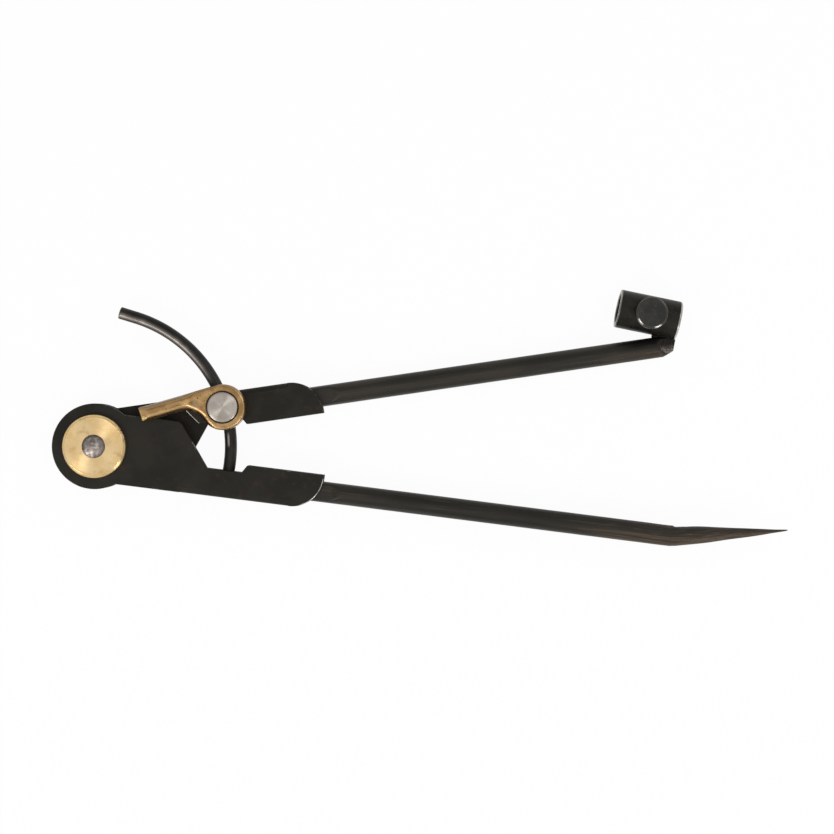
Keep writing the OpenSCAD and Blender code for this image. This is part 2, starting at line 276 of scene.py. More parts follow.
cove_points = []
for k in range(cove_steps + 1):
    bend = math.pi / 2 * k / cove_steps
    r, z = floor_reach + cove_r * math.sin(bend), cove_r * (1 - math.cos(bend)) - floor_drop
    cove_points += [(r * math.cos(t), r * math.sin(t), z) for t in round_turns(cove_sides)]
cove_faces = [tuple(range(cove_sides))]
for k in range(cove_steps):
    for i in range(cove_sides):
        low, high, after = k * cove_sides, (k + 1) * cove_sides, (i + 1) % cove_sides
        cove_faces.append((low + i, high + i, high + after, low + after))
floor_mesh = bpy.data.meshes.new("floor")
floor_mesh.from_pydata(cove_points, [], cove_faces)
floor_mesh.shade_smooth()
floor_mesh.materials.append(floor_finish.material)
floor = new_object("floor", floor_mesh)
print("floor is flat for", floor_reach, "m each way")

# %% Hang the lights
def soft_box(name, azimuth, elevation, size, power, away=0.7):
    """A square lamp that faces the object from so many degrees round and so many up."""
    lamp = new_object(name, bpy.data.lights.new(name, "AREA"))
    turn, rise = math.radians(azimuth), math.radians(elevation)
    level = math.cos(rise)
    towards = Vector((math.cos(turn) * level, math.sin(turn) * level, math.sin(rise)))
    lamp.location = view_middle + away * towards
    lamp.rotation_euler = towards.to_track_quat("Z", "Y").to_euler()
    lamp.data.size = size
    lamp.data.energy = power
    print("lamp:", name, power, "W")


soft_box("top_box", azimuth=280, elevation=72, size=1.1, power=2.2, away=1.0)
soft_box("near_left_box", azimuth=217, elevation=45, size=0.2, power=0.95)
soft_box("near_right_box", azimuth=308, elevation=30, size=0.2, power=0.95)
soft_box("far_fill", azimuth=36, elevation=42, size=0.28, power=0.6)

# %% Light the room
room_light = 0.5
world = bpy.data.worlds.new("studio")
bpy.context.scene.world = world
world.use_nodes = True
sky = world.node_tree.nodes["Background"]
sky.inputs["Color"].default_value = (1, 1, 1, 1)
sky.inputs["Strength"].default_value = room_light
bpy.context.scene.view_settings.view_transform = "Standard"
print("room light:", room_light)

# %% [markdown]
# ## Where the legs lie
# Each leg is made along its own X axis and then turned to its side of the opening. The spike leg
# is the pencil leg's pattern turned over, as on the real compass, where one die can make both heads.
# A place is a matrix, and the same matrix tells a finish which way its piece lies.

# %% Place the legs
half_opening = math.radians(15.5 / 2)
to_middle = Matrix.Translation((0, 0, middle))
turned_over = to_middle @ Matrix.Rotation(math.pi, 4, "X") @ to_middle.inverted()
leg_place = {
    "pencil": Matrix.Rotation(half_opening, 4, "Z"),
    "spike": Matrix.Rotation(-half_opening, 4, "Z") @ turned_over,
}
print("legs open in degrees:", round(2 * math.degrees(half_opening), 2))

# %% [markdown]
# ## Black steel
# The legs are hot-rolled steel, blackened in oil. Such a skin is never one black: it is a little
# browner where the oil burnt off, a little shinier where hands have rubbed it, and bare where an
# edge has worn through. A painted picture would fit one side only, so noise of three sizes gives
# the clouds, the rust and the grit on every side. The sheet is mottled both ways.

# %% Blackened sheet
def black_sheet(name, place):
    """The mottled, satin skin of the folded heads."""
    f = Finish(name, place)
    cloud = f.step(f.grain(9 * mm, 4.0), 0.36, 0.66)
    rust = f.step(f.grain(2.6 * mm, 4.0, shift=3.0), 0.56, 0.74)
    grit = f.grain(0.3 * mm, 2.0)
    colour = f.blend(cloud, tint("#201f1a"), tint("#292620"))
    colour = f.blend(rust * 0.55, colour, tint("#3a2b23"))
    return f.finish(
        Base_Color=colour,
        Roughness=0.48 + 0.14 * f.grain(1.3 * mm) - 0.07 * cloud + 0.06 * rust,
        Metallic=0.3,
        Specular_IOR_Level=0.2,
        Normal=f.bump(grit, 0.01 * mm))


# %% Worn edges, partly a painted highlight
def worn_edge_and_painted_highlight(name, place, end_wear_and_highlight, slant_wear_and_highlight, slant_end):
    """Black rubbed through to steel on its edges, most on the leg's rounded end and on its slanted cuts,
    where the edges catch the lamps: wear, and a painted highlight too.
    """
    f = Finish(name, place)
    along = f.axis("X")
    round_end, outer_edge = (58.5 * mm, 61.5 * mm), (0.3 * mm, 1.6 * mm)
    slant_start, slant_stop = (21.5 * mm, 23.5 * mm), (slant_end - 1.5 * mm, slant_end)
    # painted highlight: more bare steel on the end's outer side and on the slanted cuts, the edges that
    # catch the lamps
    at_end = f.step(along, *round_end) * f.step(f.axis("Y"), *outer_edge)
    at_slant = f.band(along, slant_start, slant_stop)
    chance = 0.14 + end_wear_and_highlight * at_end + slant_wear_and_highlight * at_slant
    rub = f.step(f.grain(3.0 * mm, 4.0) + chance, 0.7, 1.1)
    return f.finish(
        Base_Color=f.blend(rub, tint("#23221e"), tint("#c4bfb6")),
        Roughness=0.44 - 0.1 * rub,
        Metallic=0.3 + 0.65 * rub,
        Specular_IOR_Level=0.25,
        Normal=f.bump(f.grain(0.35 * mm), 0.008 * mm))


# %% [markdown]
# ## The two folded heads
# Each leg starts as a punched blank that is folded over the end of its bar. The frame's solid has
# the right outline, so its mesh is copied and its flat triangles are merged. A bevel tool would
# have to fit the shortest edge of every arc, so the rim of each outer face is drawn in twice and
# lowered instead: that is the same rounded edge that a punch leaves, and it stops where the fold
# begins. The rounded rims get the worn finish, which is bare on the edges that catch the lamps:
# wear, and a painted highlight too.

# %% A piece from a mesh
sharp_from = math.radians(50)


def moved(bm, place):
    """The same mesh, moved and turned to its place."""
    bmesh.ops.transform(bm, matrix=place, verts=bm.verts)
    return bm


def make_piece(name, bm, body, nodes, finishes, place=None):
    """Turn a mesh in code into a shown piece that rides on a body and stands for its solids."""
    if place is not None:
        moved(bm, place)
    bmesh.ops.recalc_face_normals(bm, faces=bm.faces)
    mesh = bpy.data.meshes.new(name)
    bm.to_mesh(mesh)
    bm.free()
    # normals copied from a solid would shade its new rims wrongly
    if "custom_normal" in mesh.attributes:
        mesh.attributes.remove(mesh.attributes["custom_normal"])
    mesh.shade_smooth()
    mesh.set_sharp_from_angle(angle=sharp_from)
    piece = new_object(name, mesh)
    for finish in finishes:
        mesh.materials.append(finish)
    flats = piece.modifiers.new("flats_stay_flat", "WEIGHTED_NORMAL")
    flats.weight = 100
    flats.keep_sharp = True
    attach(piece, body)
    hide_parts(*nodes)
    print("piece:", name, "on", body, "with", len(mesh.polygons), "faces")


# %% Copy a solid cleanly
def clean_copy(node):
    """The solid's mesh with its flat triangles merged."""
    bm = bmesh.new()
    bm.from_mesh(frame["nodes"][node].data)
    bmesh.ops.remove_doubles(bm, verts=bm.verts, dist=0.001 * mm)
    bmesh.ops.dissolve_limit(bm, angle_limit=math.radians(0.5), verts=bm.verts, edges=bm.edges)
    bm.normal_update()
    return bm


# %% Round the rims of a flat solid
def round_rims(bm, radius):
    """Round the rim of the top and bottom faces, in two steps, where a steep wall meets them."""
    levels = [v.co.z for v in bm.verts]
    same_level = 0.01 * mm
    level_above, steep_below = 0.999, 0.5
    quarter = 1 - math.sqrt(0.5)
    for level, up in ((max(levels), 1), (min(levels), -1)):
        flat = [face for face in bm.faces
                if face.normal.z * up > level_above and abs(face.verts[0].co.z - level) < same_level]
        walls = {}
        for edge in {edge for face in flat for edge in face.edges}:
            others = [face for face in edge.link_faces if face not in flat]
            for v in edge.verts if others else ():
                walls.setdefault(v, []).append(abs(others[0].normal.z) < steep_below)
        steep = {v for v, sides in walls.items() if all(sides)}
        for inset, drop in ((quarter * radius, radius), ((1 - quarter) * radius, quarter * radius)):
            strip = bmesh.ops.inset_region(bm, faces=flat, thickness=inset, use_even_offset=True)["faces"]
            fresh = {v for face in strip for v in face.verts} - set(walls)
            rim = {v for v in fresh if any(edge.other_vert(v) in steep for edge in v.link_edges)}
            for v in rim:
                v.co.z -= up * drop
            for face in strip:
                face.material_index = int(sum(v in rim for v in face.verts) > 1)
    return bm


# %% Fold the heads
rim_radius = 0.24 * mm
edge_wear_and_highlight = {
    "spike": {"end_wear_and_highlight": 0.36, "slant_wear_and_highlight": 0.04, "slant_end": 34 * mm},
    "pencil": {"end_wear_and_highlight": 0.1, "slant_wear_and_highlight": 0.4, "slant_end": 31.2 * mm},
}
for leg, amounts in edge_wear_and_highlight.items():
    place = leg_place[leg]
    make_piece(
        f"folded_head_of_{leg}_leg", round_rims(clean_copy(f"{leg}_leg_channel"), rim_radius),
        f"{leg}_leg", [f"{leg}_leg_channel"],
        [black_sheet(f"black_sheet_{leg}", place), worn_edge_and_painted_highlight(f"worn_edge_and_painted_highlight_{leg}", place, **amounts)])

# %% [markdown]
# ## Turned pieces
# Washers, the rivet, the sleeve and the screw's head all come off a lathe, so one helper turns a
# profile about an axis. Blender's Screw modifier could do that too. In code, each corner of a
# profile is given with the radius that the tool left there, and the faces can take finishes.

# %% Rounded corners
def rounded(corners, steps=4):
    """Points along a closed line of (radius, height, corner radius)."""
    line = []
    for i, (r, z, fillet) in enumerate(corners):
        here = Vector((r, z))
        before = (Vector(corners[i - 1][:2]) - here).normalized()
        after = (Vector(corners[(i + 1) % len(corners)][:2]) - here).normalized()
        half = before.angle(after) / 2
        if fillet <= 0 or half > math.radians(89):
            line.append(here)
            continue
        hub = here + (before + after).normalized() * fillet / math.sin(half)
        first = here + before * fillet / math.tan(half) - hub
        last = here + after * fillet / math.tan(half) - hub
        for k in range(steps + 1):
            line.append(hub + first.lerp(last, k / steps).normalized() * fillet)
    return line


# %% A lathe
on_axis = 1e-9


def lathe(profile, turns=96, closed=True):
    """Turn (radius, height) points about Z. An open profile starts and ends on the axis."""
    bm = bmesh.new()
    rows = []
    for r, z in profile:
        angles = round_turns(turns if r > on_axis else 1)
        rows.append([bm.verts.new((r * math.cos(a), r * math.sin(a), z)) for a in angles])
    pairs = list(zip(rows, rows[1:])) + ([(rows[-1], rows[0])] if closed else [])
    for low, high in pairs:
        for i in range(turns):
            ring = [low[i % len(low)], low[(i + 1) % turns % len(low)],
                    high[(i + 1) % turns % len(high)], high[i % len(high)]]
            bm.faces.new(list(dict.fromkeys(ring)))
    return bm


# %% [markdown]
# ## Brass washers
# The pale washers are turned from bar, and the tool leaves fine rings on the face. Rings make a
# face shine in a fan, because each point reflects along its own radius. Rings in a bump would have
# to be finer than a pixel for that, so the shader's anisotropy does it, about the mesh's own
# middle. Its rotation of a quarter turn sets the grain along the rings. Ring noise, clouds and
# small stains break up the shine.

# %% Turned brass
def turned_metal(name, light, dark, stained, roughness, fan, ring_size, place=None):
    """Metal with the fine rings of a lathe tool about its upright axis."""
    f = Finish(name, place)
    radius = f.from_axis()
    rings = 0.6 * f.lines(radius, ring_size) + 0.4 * f.lines(radius, 4 * ring_size)
    cloud = f.grain(5 * mm, 4.0)
    stain = f.step(f.grain(2.2 * mm, 5.0, shift=5.0), 0.52, 0.74)
    colour = f.blend(f.step(0.3 * rings + 0.7 * cloud, 0.36, 0.64), dark, light)
    colour = f.blend(0.4 * stain, colour, stained)
    return f.finish(
        Base_Color=colour,
        Roughness=roughness + 0.12 * (cloud - 0.5) + 0.1 * (rings - 0.5) + 0.06 * stain,
        Metallic=1.0,
        Anisotropic=fan,
        Anisotropic_Rotation=0.25,
        Normal=f.bump(rings, 0.004 * mm))


washer_brass = turned_metal(
    "turned_brass", tint("#e9cd9d"), tint("#dbba81"), tint("#b48d56"),
    roughness=0.28, fan=0.92, ring_size=0.16 * mm)

# %% Turn the washers
rivet_hole = 3.15 * mm
rim_bevel = 0.6 * mm


def span(node):
    """A round upright solid's radius, foot and top."""
    low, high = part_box(node)
    return (high.x - low.x) / 2, low.z, high.z


def washer_profile(node, bevel_up):
    """A washer with a bevelled rim, a softened bore and a faint tool ring on its face."""
    r, foot, top = span(node)
    face, back = (top, foot) if bevel_up else (foot, top)
    inward = -1 if bevel_up else 1
    ring_r, ring_w, ring_depth = 0.88 * r, 0.12 * mm, 0.02 * mm
    return rounded([
        (rivet_hole, back, 0.1 * mm), (r, back, 0.15 * mm),
        (r, face + inward * rim_bevel, 0.15 * mm), (r - rim_bevel, face, 0.2 * mm),
        (ring_r + ring_w, face, 0), (ring_r, face + inward * ring_depth, 0), (ring_r - ring_w, face, 0),
        (rivet_hole, face, 0.15 * mm)])


for side, up in (("front", True), ("rear", False)):
    make_piece(
        f"turned_{side}_washer", lathe(washer_profile(f"{side}_washer", up)), "spike_leg",
        [f"{side}_washer"], [washer_brass])

# %% [markdown]
# ## The pivot rivet
# The rivet's front end is spread with a hammer, which leaves a low dome with small dents. A bump
# in the finish would do from above, but the dome also shows from the side, so the dents are real
# dips in the mesh: noise, the same on every run, pushes the dome in a little and never out. Its
# rim is darkened as painted shade, where the dome curves down to the washer, and the finish finds
# that by the distance from the axis.

# %% Hammered steel
def hammered_steel():
    """Bright dents with smut between them, and painted shade round the rim."""
    f = Finish("hammered_steel")
    dent = f.grain(1.3 * mm, 3.0)
    smut = f.step(f.grain(0.9 * mm, 4.0, shift=2.0), 0.4, 0.66)
    # painted shade: the dome's rim is darkened by its distance from the axis
    rim_shade = f.step(f.from_axis() + 0.5 * mm * (dent - 0.5), 2.1 * mm, 3.3 * mm)
    colour = f.blend(f.step(dent, 0.35, 0.65), tint("#8d827b"), tint("#b9b0aa"))
    colour = f.blend(0.6 * smut, colour, tint("#54494a"))
    return f.finish(
        Base_Color=f.blend(0.75 * rim_shade, colour, tint("#443c39")),
        Roughness=0.3 + 0.14 * smut,
        Metallic=1.0,
        Normal=f.bump(dent, 0.03 * mm))


# %% Peen the rivet
def peened_rivet():
    """A countersunk foot, a plain shank and a low, dented dome."""
    head_r, foot, top = span("pivot_rivet")
    shank_r = 3.1 * mm
    spread_r = 3.35 * mm
    dome_h = 0.57 * mm
    dome_foot = top - dome_h
    dome_r = (spread_r ** 2 + dome_h ** 2) / (2 * dome_h)
    sink = head_r - shank_r
    ease = 0.05 * mm
    line = [(0, foot), (head_r - ease, foot), (head_r, foot + ease), (shank_r, foot + sink)]
    line += [(shank_r, dome_foot), (spread_r, dome_foot)]
    rings = 14
    rim_angle = math.asin(spread_r / dome_r)
    for k in range(1, rings + 1):
        a = rim_angle * (1 - k / rings)
        line.append((dome_r * math.sin(a), top - dome_r * (1 - math.cos(a))))
    bm = lathe(line, turns=72, closed=False)
    dent_size, dent_depth, dent_share = 1.4 * mm, 0.09 * mm, 0.15
    crown_room, fade = 0.1 * mm, 0.3 * mm
    for v in bm.verts:
        if v.co.z > dome_foot - 0.001 * mm:
            dent = max(0, noise.noise(v.co / dent_size) + dent_share)
            v.co.z -= dent_depth * dent * min(1, (top + crown_room - v.co.z) / fade)
    return bm


make_piece("peened_rivet", peened_rivet(), "spike_leg", ["pivot_rivet"], [hammered_steel()])

# %% [markdown]
# ## Rolled bars and the spike
# Both legs are round bar, pressed flat where the folded head grips them. The spike is the same
# bar, bent and drawn out by hammer, with a small step on its inner side where the hammering
# began. A curve with a bevel would stay round everywhere, so each bar is skinned over a row of
# rings, and the flats, the bend and the taper are one surface. The rings wander a few hundredths
# of a millimetre, which is what makes a forged surface's highlight waver.

# %% A loft
def loft(rings, fan_ends=True):
    """Skin a row of rings with as many points each, and close both ends."""
    bm = bmesh.new()
    rows = [[bm.verts.new(p) for p in ring] for ring in rings]
    count = len(rows[0])
    for low, high in zip(rows, rows[1:]):
        for i in range(count):
            bm.faces.new((low[i], low[(i + 1) % count], high[(i + 1) % count], high[i]))
    for row in (rows[0], rows[-1]):
        if not fan_ends:
            bm.faces.new(row)
            continue
        hub = bm.verts.new(sum((v.co for v in row), Vector()) / count)
        for i in range(count):
            bm.faces.new((row[i], row[(i + 1) % count], hub))
    return bm


# %% One ring of a bar
bar_r = 3.0 * mm
bar_off = 4.86 * mm
bar_start = 45 * mm
flat_end = 68 * mm
flat_run = 4 * mm
flat_half = 1.98 * mm
along_leg = Vector((1, 0, 0))


def soft_step(value, low, high):
    """0 below low, 1 above high, smooth between."""
    t = max(0, min(1, (value - low) / (high - low)))
    return t * t * (3 - 2 * t)


def left_of(direction):
    """A level direction, a quarter turn to the left of another."""
    return Vector((-direction.y, direction.x, 0))


def bar_ring(at, along, half_v, half_z, flat, waver=0.0, inner_cut=0.0, points=48):
    """One ring of a bar: at a point of its axis, square to a direction, cut by flats."""
    side = left_of(along)
    waver_size = 4 * mm
    ring = []
    for a in round_turns(points):
        reach = half_v * math.cos(a)
        rise = max(-flat, min(flat, half_z * math.sin(a)))
        spot = at + side * max(reach, inner_cut - half_v) + Vector((0, 0, rise))
        ring.append(spot + side * math.cos(a) * waver * noise.noise(spot / waver_size))
    return ring


# %% Rings along the straight bar
def straight_rings(end):
    """Rings from the bar's start in the folded head to that distance along the leg."""
    ease, end_share = 0.3 * mm, 0.9
    ring_step, waver = 3 * mm, 0.015 * mm
    stops = [bar_start, bar_start + ease, flat_end - 1 * mm]
    stops += [flat_end + flat_run * k / 10 for k in range(11)]
    left = end - stops[-1]
    count = round(left / ring_step)
    stops += [stops[-1] + left * (k + 1) / count for k in range(count)]
    rings = []
    for u in stops:
        rise = soft_step(u, flat_end, flat_end + flat_run)
        flat = flat_half + (bar_r - flat_half) * rise
        shrink = end_share if u == bar_start else 1
        at = Vector((u, bar_off, middle))
        rings.append(bar_ring(at, along_leg, bar_r * shrink, bar_r, flat * shrink, waver * rise))
    return rings


# %% A smooth run of rows
def smooth_rows(rows, steps):
    """Rows of numbers, with more rows put between them on a smooth curve."""
    out = []
    for i in range(len(rows) - 1):
        near = [rows[max(0, min(len(rows) - 1, i + k))] for k in (-1, 0, 1, 2)]
        for s in range(steps):
            t = s / steps
            weights = (
                (-t + 2 * t ** 2 - t ** 3) / 2, (2 - 5 * t ** 2 + 3 * t ** 3) / 2,
                (t + 4 * t ** 2 - 3 * t ** 3) / 2, (t ** 3 - t ** 2) / 2)
            out.append([sum(w * value for w, value in zip(weights, column)) for column in zip(*near)])
    return out + [list(rows[-1])]


# %% Bend and draw out the spike
spike_run = 33.5 * mm
leg_length = 200 * mm
tip_in = 1 * mm
tip_r = 0.175 * mm
bend_u = leg_length - spike_run
spike_slope = (bar_off + tip_in) / spike_run
hammer_waver = 0.05 * mm


def spike_rings():
    """Rings from before the bend to the point. Each row has its place along the spike, half width,
    half height, share of the bend's turn, inner cut and outward shift, lengths in millimetres."""
    bend = Vector((bend_u, bar_off, middle))
    tip = Vector((leg_length, -tip_in, middle))
    drawn = (tip - bend).normalized()
    length = (tip - bend).length / mm
    rows = smooth_rows(
        [(-5, 3.0, 3.0, 0, 0, 0), (-2.5, 3.0, 3.0, 0.12, 0, 0), (-0.4, 3.0, 3.0, 0.4, 0, 0),
         (0.8, 2.97, 2.99, 0.62, 0.05, 0.03), (1.7, 2.95, 2.98, 0.85, 0.42, 0.08),
         (4, 2.7, 2.9, 1, 0.1, 0.2), (9, 2.45, 2.65, 1, 0, 0.2), (16, 1.82, 1.9, 1, 0, 0.2),
         (24, 1.1, 1.12, 1, 0, 0.2), (31, 0.43, 0.44, 1, 0, 0.1),
         (length - 0.4, tip_r / mm, tip_r / mm, 1, 0, 0.02)], 5)
    rings = []
    for t, half_v, half_z, turn, cut, outward in rows:
        along = along_leg.lerp(drawn, turn).normalized()
        at = bend + (drawn if t > 0 else along_leg) * t * mm
        at = at + left_of(along) * outward * mm
        rings.append(bar_ring(
            at, along, half_v * mm, half_z * mm, half_z * mm, hammer_waver, max(0, cut) * mm))
    blunt = 0.05 * mm
    return rings + [bar_ring(tip - drawn * blunt, drawn, tip_r / 2, tip_r / 2, tip_r)]


print("rings along the spike:", len(spike_rings()))

# %% [markdown]
# ## Streaked black
# Rolling draws the scale on a bar out into long streaks, and the forge has browned the spike leg
# towards its point, most on the outer side. A wave texture would repeat, so the streaks are noise
# that is stretched some thirty times along the bar. Past the bend the coordinates are sheared, so
# that the streaks follow the spike instead of running out of its side. The pencil leg has the
# same finish, browned on its inner side, and darkened near the sleeve on the other, as a painted
# shadow of the sleeve and the weld.

# %% Streak and finish the spike leg's bar
def rolled_black(name, place, dark, light, heat_from, heat_to, heat_share, hot_side, shadow_from=None):
    """Black bar with long streaks, browned by heat on one side, and beyond a point if given darkened
    as painted shadow.
    """
    f = Finish(name, place)
    along, out = f.axis("X"), f.axis("Y")
    past_bend = f.node("ShaderNodeMath", {"operation": "MAXIMUM"}, [along - bend_u, 0.0])
    outward = out + spike_slope * past_bend
    f.where = f.node("ShaderNodeCombineXYZ", None, [along, outward, f.axis("Z")])
    streak = f.grain(0.45 * mm, 4.0, stretch=(0.03, 1, 1))
    cloud = f.step(f.grain(8 * mm, 4.0, stretch=(0.35, 1, 1)), 0.38, 0.68)
    scale = f.step(f.grain(1.2 * mm, 4.0, stretch=(0.25, 1, 1), shift=4.0), 0.52, 0.7)
    heat = f.step(along, heat_from, heat_to)
    hot = f.step(outward, *hot_side)
    colour = f.blend(cloud, dark, light)
    colour = f.blend(f.step(streak, 0.5, 0.74) * 0.6, colour, tint("#413b33"))
    brown = f.blend(f.step(streak, 0.22, 0.78), tint("#372c24"), tint("#716252"))
    colour = f.blend(heat * heat_share * (0.15 + 0.25 * scale + 0.5 * hot), colour, brown)
    if shadow_from is not None:
        # painted shadow of the sleeve and weld: the bar darkens near its end on the outer side
        painted_shadow = f.step(along, shadow_from, shadow_from + 8 * mm) * f.step(out, 3.6 * mm, 6.2 * mm)
        colour = f.blend(0.85 * painted_shadow, colour, tint("#0e0d0c"))
    return f.finish(
        Base_Color=colour,
        Roughness=0.42 + 0.18 * (streak - 0.5) + 0.1 * heat,
        Metallic=0.4 + 0.25 * heat * hot,
        Specular_IOR_Level=0.3,
        Normal=f.bump(streak + 0.5 * scale * heat, 0.016 * mm))


spike_black = rolled_black(
    "rolled_black_spike", leg_place["spike"], tint("#24221e"), tint("#2e2a24"),
    heat_from=128 * mm, heat_to=168 * mm, heat_share=1.0, hot_side=(4.0 * mm, 6.4 * mm))
make_piece(
    "drawn_spike_bar", loft(straight_rings(bend_u - 6 * mm) + spike_rings()), "spike_leg",
    ["spike_leg_bar"], [spike_black], leg_place["spike"])

# %% [markdown]
# ## The pencil leg's coped bar
# The bar's end is coped: hollowed, so that the sleeve nests in it. It is trimmed flush with the
# sleeve's mouth, and its top is ground where the weld was dressed, which leaves crossed scratches.
# The hollow of a tilted round is hard to draw ring by ring, so a boolean cut makes it, and plane
# cuts trim the rest. A boolean leaves slivers, which are merged away so that the mesh stays
# closed. The ground face is one of the cuts, and so it can have a finish of its own.

# %% Cut one mesh from another
def carve(bm, *cutters):
    """The mesh less each cutter, worked out by Blender's exact boolean."""
    parts = []
    for shape in (bm, *cutters):
        bmesh.ops.recalc_face_normals(shape, faces=shape.faces)
        mesh = bpy.data.meshes.new("part")
        shape.to_mesh(mesh)
        shape.free()
        parts.append(new_object("part", mesh))
    for cutter in parts[1:]:
        cut = parts[0].modifiers.new("cut", "BOOLEAN")
        cut.object = cutter
        cut.solver = "EXACT"
    bpy.context.view_layer.update()
    done = parts[0].evaluated_get(bpy.context.evaluated_depsgraph_get())
    out = bmesh.new()
    out.from_mesh(done.to_mesh())
    sliver = 0.006 * mm
    bmesh.ops.remove_doubles(out, verts=out.verts, dist=sliver)
    bmesh.ops.dissolve_degenerate(out, edges=out.edges, dist=sliver)
    for part in parts:
        bpy.data.objects.remove(part)
    return out


# %% Trim with a plane, and a bar to cut with
def trim(bm, at, outward, finish_number=0):
    """Cut away what lies beyond a plane and close the cut."""
    everything = bm.verts[:] + bm.edges[:] + bm.faces[:]
    cut = bmesh.ops.bisect_plane(bm, geom=everything, plane_co=at, plane_no=outward, clear_outer=True)
    rim = [edge for edge in cut["geom_cut"] if isinstance(edge, bmesh.types.BMEdge)]
    for face in bmesh.ops.holes_fill(bm, edges=rim)["faces"]:
        face.material_index = finish_number


def round_bar(radius, low, high, turns=64):
    """A plain upright cylinder to cut with."""
    return lathe([(0, low), (radius, low), (radius, high), (0, high)], turns, closed=False)


# %% Ground steel for the bar's end
def ground_steel(name, place):
    """Steel with crossed grinding scratches, darkened towards the weld as painted shadow."""
    f = Finish(name, place)
    crosswise = f.grain(0.22 * mm, 4.0, stretch=(1, 0.3, 1))
    lengthwise = f.grain(0.25 * mm, 3.0, stretch=(0.15, 1, 1))
    scratch = 0.6 * crosswise + 0.4 * lengthwise
    ragged = 1.6 * mm * (f.grain(0.8 * mm, 4.0, shift=6.0) - 0.5)
    # painted shadow of the sleeve and weld on the ground face
    painted_shadow = f.step(f.axis("Y") + ragged, 3.6 * mm, 5.4 * mm)
    colour = f.blend(f.step(scratch, 0.38, 0.62), tint("#332e2a"), tint("#8f8880"))
    return f.finish(
        Base_Color=f.blend(0.92 * painted_shadow, colour, tint("#14110f")),
        Roughness=0.42 + 0.12 * painted_shadow,
        Metallic=0.6,
        Specular_IOR_Level=0.12,
        Normal=f.bump(scratch, 0.012 * mm))


# %% Place the sleeve
sleeve_tilt = math.radians(20)
sleeve_r = 5.5 * mm
sleeve_half = 9 * mm
bore_r = 4.3 * mm
seat_gap = 0.02 * mm
far = 40 * mm
sleeve_turn = Matrix.Rotation(half_opening - sleeve_tilt, 4, "Z") @ Matrix.Rotation(math.pi / 2, 4, "Y")
sleeve_place = Matrix.Translation((screw_at.x, screw_at.y, middle)) @ sleeve_turn
in_leg = leg_place["pencil"].inverted() @ sleeve_place
mouth = in_leg @ Vector((0, 0, sleeve_half))
mouth_out = (in_leg.to_3x3() @ Vector((0, 0, 1))).normalized()
print("sleeve's mouth along the leg in mm:", round(mouth.x / mm, 1))

# %% Cope the pencil leg's bar
inner_side = bar_off - bar_r
corner_u = mouth.x - (mouth.y - inner_side) * math.tan(sleeve_tilt)
corner_cut = 2.6 * mm
corner_angle = math.radians(23)
corner_at = Vector((corner_u - corner_cut, inner_side, middle))
ground_cut = 3.4 * mm
ground_tilt = math.radians(26)
ground_at = Vector((corner_u - ground_cut, bar_off, middle + bar_r))
rough_end = 172 * mm

pencil_bar = loft(straight_rings(rough_end))
trim(pencil_bar, mouth, mouth_out)
trim(pencil_bar, corner_at, Vector((math.sin(corner_angle), -math.cos(corner_angle), 0)))
pencil_bar = carve(pencil_bar, moved(round_bar(sleeve_r + seat_gap, -far, far), in_leg))
trim(pencil_bar, ground_at, Vector((math.sin(ground_tilt), 0, math.cos(ground_tilt))), 1)
# the pencil bar is darkened near the sleeve as painted shadow
pencil_black = rolled_black(
    "rolled_black_pencil", leg_place["pencil"], tint("#272520"), tint("#322e28"),
    heat_from=140 * mm, heat_to=166 * mm, heat_share=0.55,
    hot_side=(5.6 * mm, 3.2 * mm), shadow_from=150 * mm)
make_piece(
    "coped_pencil_bar", pencil_bar, "pencil_leg", ["pencil_leg_bar"],
    [pencil_black, ground_steel("ground_end", leg_place["pencil"])], leg_place["pencil"])

# %% [markdown]
# ## The sleeve
# The sleeve is a short turned tube that takes the pencil, with a hole drilled for the screw. Its
# black is satin and even. Handling has rubbed the rims, a little at the back and bare at the
# mouth, where the pencil's point comes out. The rims are faces of the same mesh with finishes of
# their own: a mask by position would have to be tuned to each rounding.

# %% Satin black for turned pieces
def satin_black(name, place, base, sheen, roughness):
    """Even black with faint turning marks and a few pale nicks."""
    f = Finish(name, place)
    turned = f.grain(0.3 * mm, 3.0, stretch=(0.15, 0.15, 1))
    cloud = f.step(f.grain(3.5 * mm, 4.0), 0.38, 0.66)
    nick = f.step(f.grain(0.8 * mm, 2.0, shift=7.0), 0.66, 0.76)
    colour = f.blend(cloud, base, sheen)
    return f.finish(
        Base_Color=f.blend(nick * 0.45, colour, tint("#57544f")),
        Roughness=roughness + 0.12 * (turned - 0.5) + 0.1 * (cloud - 0.5),
        Metallic=0.35,
        Specular_IOR_Level=0.25,
        Normal=f.bump(turned, 0.01 * mm))


# %% Rubbed rims
def bare_rim(name, place, bare, glint_spots=()):
    """A turned rim whose black has thinned, with painted glints: light, bare spots some degrees round."""
    f = Finish(name, place)
    rub = 0.3 + 0.7 * f.step(f.grain(5 * mm, 2.0), 0.25, 0.7)
    colour = f.blend(rub, tint("#2b2a27"), bare)
    x, y = f.axis("X"), f.axis("Y")
    # painted glints: at each spot the rim turns to light, bare steel
    for spot in glint_spots:
        a = math.radians(spot)
        worn = f.step((x * math.cos(a) + y * math.sin(a)) / f.from_axis(), 0.95, 0.998)
        colour = f.blend(worn, colour, tint("#b3afa8"))
        rub = rub + worn - rub * worn
    return f.finish(
        Base_Color=colour,
        Roughness=0.36 - 0.12 * rub,
        Metallic=0.4 + 0.55 * rub,
        Normal=f.bump(f.grain(0.3 * mm), 0.008 * mm))


